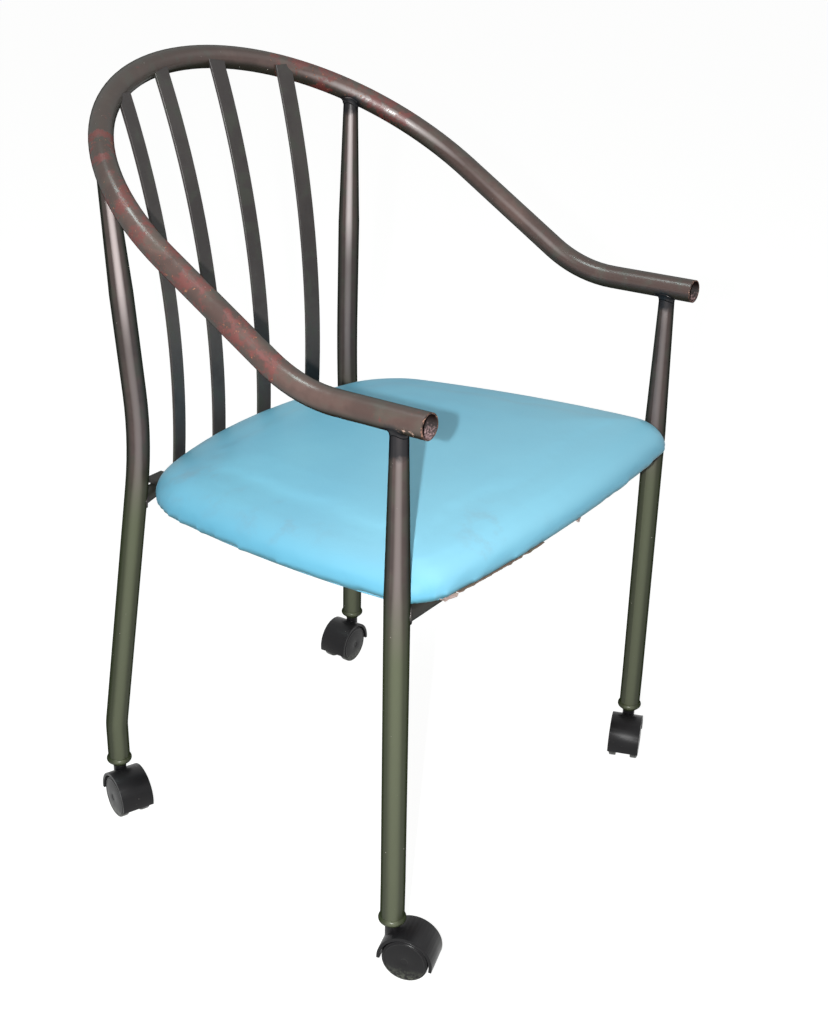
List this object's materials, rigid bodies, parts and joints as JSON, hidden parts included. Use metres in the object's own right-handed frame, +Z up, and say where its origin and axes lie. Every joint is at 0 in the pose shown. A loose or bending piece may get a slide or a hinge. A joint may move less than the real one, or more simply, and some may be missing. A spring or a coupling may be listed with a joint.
{
  "type": "tubular steel armchair on casters",
  "caption": "Steel tube armchair with a hoop back, flat slats, a padded seat and twin-wheel casters, weathered and chipped.",
  "frame": {"origin": "on the floor, in the middle of the chair's footprint", "axes": "+Z up, the sitter faces -Y, the sitter's right hand is at -X"},
  "size_m": [0.5487, 0.5653, 0.8487],
  "materials": {
    "hoop_paint": "satin bronze-brown paint, worn and rusted in patches",
    "leg_paint": "satin bronze-brown paint, burnt black near the welds",
    "slat_paint": "satin dark grey-brown paint",
    "rail_paint": "dark satin paint",
    "socket_paint": "steel ferrule sprayed with the same enamel as the leg",
    "plywood": "raw plywood",
    "seat_foam": "aged upholstery foam",
    "seat_vinyl": "smooth sky-blue coated cloth, dirty and torn along its front hem",
    "fixing_steel": "plain steel",
    "caster_plastic": "satin black moulded plastic",
    "wheel_plastic": "black moulded plastic, dusty tread"
  },
  "bodies": {
    "frame": {"hoop_rail": "hoop_paint", "front_leg_left": "leg_paint", "front_leg_right": "leg_paint", "rear_leg_left": "leg_paint", "rear_leg_right": "leg_paint", "back_slat_1": "slat_paint", "back_slat_2": "slat_paint", "back_slat_3": "slat_paint", "back_slat_4": "slat_paint", "rear_seat_rail": "rail_paint", "front_seat_rail": "rail_paint", "seat_bar_left": "rail_paint", "seat_bar_right": "rail_paint", "seat_board": "plywood", "seat_foam": "seat_foam", "seat_cover": "seat_vinyl", "seat_screws": "fixing_steel", "seat_staples": "fixing_steel", "leg_socket_fl": "socket_paint", "leg_socket_fr": "socket_paint", "leg_socket_rl": "socket_paint", "leg_socket_rr": "socket_paint"},
    "caster_fl": {"caster_stem_fl": "fixing_steel", "stem_clip_fl": "fixing_steel", "caster_hood_fl": "caster_plastic", "caster_axle_fl": "fixing_steel"},
    "wheel_a_fl": {"wheel_a_fl": "wheel_plastic"},
    "wheel_b_fl": {"wheel_b_fl": "wheel_plastic"},
    "caster_fr": {"caster_stem_fr": "fixing_steel", "stem_clip_fr": "fixing_steel", "caster_hood_fr": "caster_plastic", "caster_axle_fr": "fixing_steel"},
    "wheel_a_fr": {"wheel_a_fr": "wheel_plastic"},
    "wheel_b_fr": {"wheel_b_fr": "wheel_plastic"},
    "caster_rl": {"caster_stem_rl": "fixing_steel", "stem_clip_rl": "fixing_steel", "caster_hood_rl": "caster_plastic", "caster_axle_rl": "fixing_steel"},
    "wheel_a_rl": {"wheel_a_rl": "wheel_plastic"},
    "wheel_b_rl": {"wheel_b_rl": "wheel_plastic"},
    "caster_rr": {"caster_stem_rr": "fixing_steel", "stem_clip_rr": "fixing_steel", "caster_hood_rr": "caster_plastic", "caster_axle_rr": "fixing_steel"},
    "wheel_a_rr": {"wheel_a_rr": "wheel_plastic"},
    "wheel_b_rr": {"wheel_b_rr": "wheel_plastic"}
  },
  "joints": [
    {"name": "caster_fl_swivel", "type": "hinge", "parent": "frame", "child": "caster_fl", "pos_m": [-0.2553, -0.23, 0.06], "axis": [0, 0, 1], "continuous": true},
    {"name": "wheel_a_fl_roll", "type": "hinge", "parent": "caster_fl", "child": "wheel_a_fl", "pos_m": [-0.24927, -0.24855, 0.025], "axis": [0.9511, 0.309, 0], "continuous": true},
    {"name": "wheel_b_fl_roll", "type": "hinge", "parent": "caster_fl", "child": "wheel_b_fl", "pos_m": [-0.24927, -0.24855, 0.025], "axis": [0.9511, 0.309, 0], "continuous": true},
    {"name": "caster_fr_swivel", "type": "hinge", "parent": "frame", "child": "caster_fr", "pos_m": [0.2553, -0.23, 0.06], "axis": [0, 0, 1], "continuous": true},
    {"name": "wheel_a_fr_roll", "type": "hinge", "parent": "caster_fr", "child": "wheel_a_fr", "pos_m": [0.23722, -0.2373, 0.025], "axis": [0.3746, -0.9272, 0], "continuous": true},
    {"name": "wheel_b_fr_roll", "type": "hinge", "parent": "caster_fr", "child": "wheel_b_fr", "pos_m": [0.23722, -0.2373, 0.025], "axis": [0.3746, -0.9272, 0], "continuous": true},
    {"name": "caster_rl_swivel", "type": "hinge", "parent": "frame", "child": "caster_rl", "pos_m": [-0.2255, 0.196, 0.06], "axis": [0, 0, 1], "continuous": true},
    {"name": "wheel_a_rl_roll", "type": "hinge", "parent": "caster_rl", "child": "wheel_a_rl", "pos_m": [-0.23217, 0.17768, 0.025], "axis": [0.9397, -0.342, 0], "continuous": true},
    {"name": "wheel_b_rl_roll", "type": "hinge", "parent": "caster_rl", "child": "wheel_b_rl", "pos_m": [-0.23217, 0.17768, 0.025], "axis": [0.9397, -0.342, 0], "continuous": true},
    {"name": "caster_rr_swivel", "type": "hinge", "parent": "frame", "child": "caster_rr", "pos_m": [0.2255, 0.196, 0.06], "axis": [0, 0, 1], "continuous": true},
    {"name": "wheel_a_rr_roll", "type": "hinge", "parent": "caster_rr", "child": "wheel_a_rr", "pos_m": [0.20605, 0.19464, 0.025], "axis": [0.0698, -0.9976, 0], "continuous": true},
    {"name": "wheel_b_rr_roll", "type": "hinge", "parent": "caster_rr", "child": "wheel_b_rr", "pos_m": [0.20605, 0.19464, 0.025], "axis": [0.0698, -0.9976, 0], "continuous": true}
  ]
}
